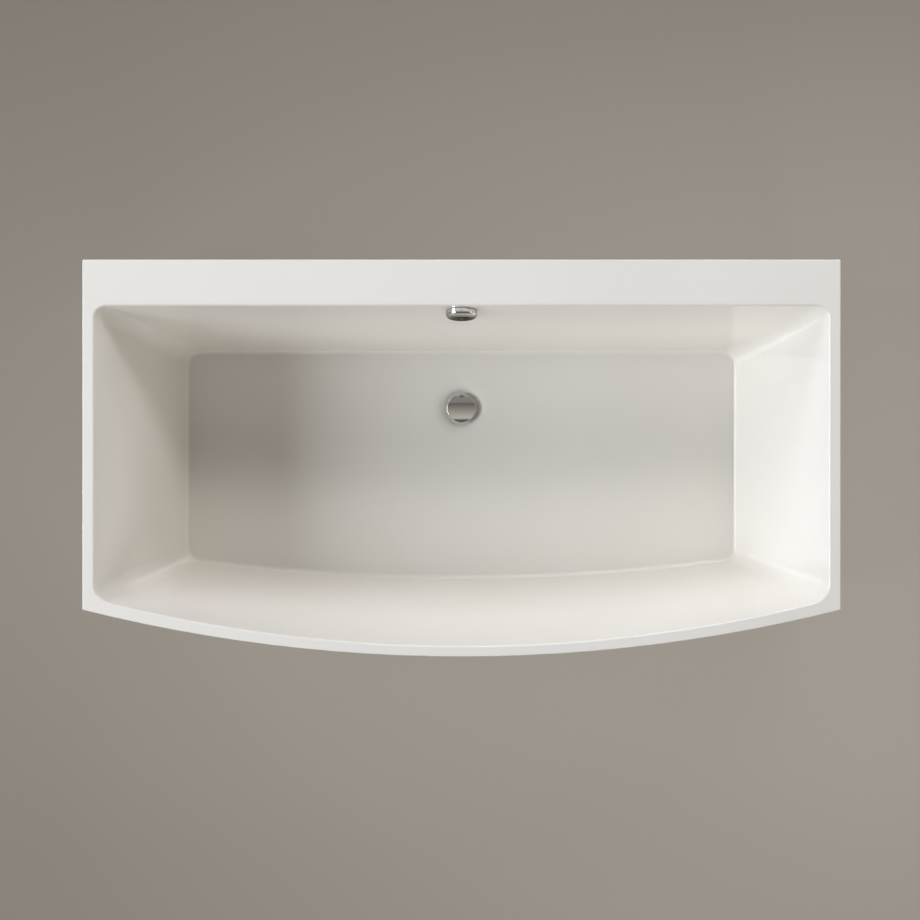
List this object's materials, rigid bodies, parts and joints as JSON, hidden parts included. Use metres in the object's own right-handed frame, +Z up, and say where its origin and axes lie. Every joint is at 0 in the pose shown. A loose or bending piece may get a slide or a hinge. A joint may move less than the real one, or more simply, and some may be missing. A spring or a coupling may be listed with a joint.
{
  "type": "freestanding bath",
  "caption": "Back-to-wall freestanding bath with a bowed front, a wide back ledge, a skirt on levelling legs, and a plug worked by turning the overflow rosette.",
  "frame": {"origin": "on the floor under the middle of the overall length and depth", "axes": "+X along the length to the right as seen from the front, +Y towards the wall, +Z up"},
  "size_m": [1.7, 0.89, 0.6],
  "materials": {
    "sanitary_acrylic": "polished white sanitary acrylic",
    "glass_fibre": "sprayed glass fibre and resin",
    "chipboard": "raw chipboard",
    "softwood": "planed softwood",
    "galvanised_steel": "galvanised sheet",
    "zinc_plated_steel": "bright zinc plate",
    "black_nylon": "moulded nylon",
    "chrome_plate": "polished chrome plate",
    "brass": "turned brass",
    "white_polypropylene": "moulded polypropylene",
    "grey_polypropylene": "moulded polypropylene",
    "cable_sheath": "extruded plastic sheath",
    "black_rubber": "moulded rubber"
  },
  "bodies": {
    "tub": {"back_batten": "softwood", "base_board": "chipboard", "bath_shell": "sanitary_acrylic", "bracket_screws": "zinc_plated_steel", "cable_clips": "black_nylon", "cable_gland_lower": "grey_polypropylene", "cable_gland_upper": "grey_polypropylene", "control_cable": "cable_sheath", "corner_angle_left": "galvanised_steel", "corner_angle_right": "galvanised_steel", "corner_screws": "zinc_plated_steel", "cradle_left": "galvanised_steel", "cradle_right": "galvanised_steel", "cradle_screws": "zinc_plated_steel", "drain_body": "white_polypropylene", "drain_body_seal": "black_rubber", "drain_flange": "chrome_plate", "end_stays_left": "galvanised_steel", "end_stays_right": "galvanised_steel", "flange_gasket": "black_rubber", "front_skirt": "sanitary_acrylic", "front_stays": "galvanised_steel", "glass_fibre_backing": "glass_fibre", "leg_lock_nuts": "zinc_plated_steel", "outlet_nut": "grey_polypropylene", "outlet_pipe": "white_polypropylene", "overflow_elbow": "white_polypropylene", "overflow_flange": "white_polypropylene", "overflow_pipe": "white_polypropylene", "overflow_screws": "zinc_plated_steel", "overflow_seal": "black_rubber", "pipe_nut_lower": "grey_polypropylene", "pipe_nut_upper": "grey_polypropylene", "rocker_pin": "zinc_plated_steel", "skirt_left": "sanitary_acrylic", "skirt_retainers": "black_nylon", "skirt_right": "sanitary_acrylic", "stay_screws": "zinc_plated_steel", "trap_cup": "white_polypropylene", "trap_seal": "black_rubber", "trap_union_nut": "grey_polypropylene", "wall_bracket_left": "galvanised_steel", "wall_bracket_right": "galvanised_steel"},
    "overflow_control": {"overflow_knob": "chrome_plate", "knob_spindle": "brass", "cable_cam": "black_nylon"},
    "plug": {"plug_cap": "chrome_plate", "plug_stem": "brass", "plug_seal": "black_rubber"},
    "rocker": {"lift_rocker": "black_nylon"},
    "leg_front_left": {"leg_stud_front_left": "zinc_plated_steel", "foot_pad_front_left": "black_nylon"},
    "leg_front_right": {"leg_stud_front_right": "zinc_plated_steel", "foot_pad_front_right": "black_nylon"},
    "leg_back_left": {"leg_stud_back_left": "zinc_plated_steel", "foot_pad_back_left": "black_nylon"},
    "leg_back_right": {"leg_stud_back_right": "zinc_plated_steel", "foot_pad_back_right": "black_nylon"}
  },
  "joints": [
    {"name": "overflow_turn", "type": "hinge", "parent": "tub", "child": "overflow_control", "pos_m": [0, 0.33276, 0.553], "axis": [0, -0.9812, 0.193], "range_deg": [0, 90]},
    {"name": "plug_lift", "type": "slide", "parent": "tub", "child": "plug", "axis": [0, 0, 1], "range_m": [-0.009, 0]},
    {"name": "rocker_swing", "type": "hinge", "parent": "tub", "child": "rocker", "pos_m": [0.012, 0.121, 0.133], "axis": [0, 1, 0], "range_deg": [-44.05, 0]},
    {"name": "leg_front_left_height", "type": "slide", "parent": "tub", "child": "leg_front_left", "axis": [0, 0, 1], "range_m": [-0.02, 0.01]},
    {"name": "leg_front_right_height", "type": "slide", "parent": "tub", "child": "leg_front_right", "axis": [0, 0, 1], "range_m": [-0.02, 0.01]},
    {"name": "leg_back_left_height", "type": "slide", "parent": "tub", "child": "leg_back_left", "axis": [0, 0, 1], "range_m": [-0.02, 0.01]},
    {"name": "leg_back_right_height", "type": "slide", "parent": "tub", "child": "leg_back_right", "axis": [0, 0, 1], "range_m": [-0.02, 0.01]}
  ],
  "couplings": [
    {"joint": "plug_lift", "follows": "overflow_turn", "m_per_rad": -0.0057296},
    {"joint": "rocker_swing", "follows": "overflow_turn", "ratio": -0.48943}
  ]
}
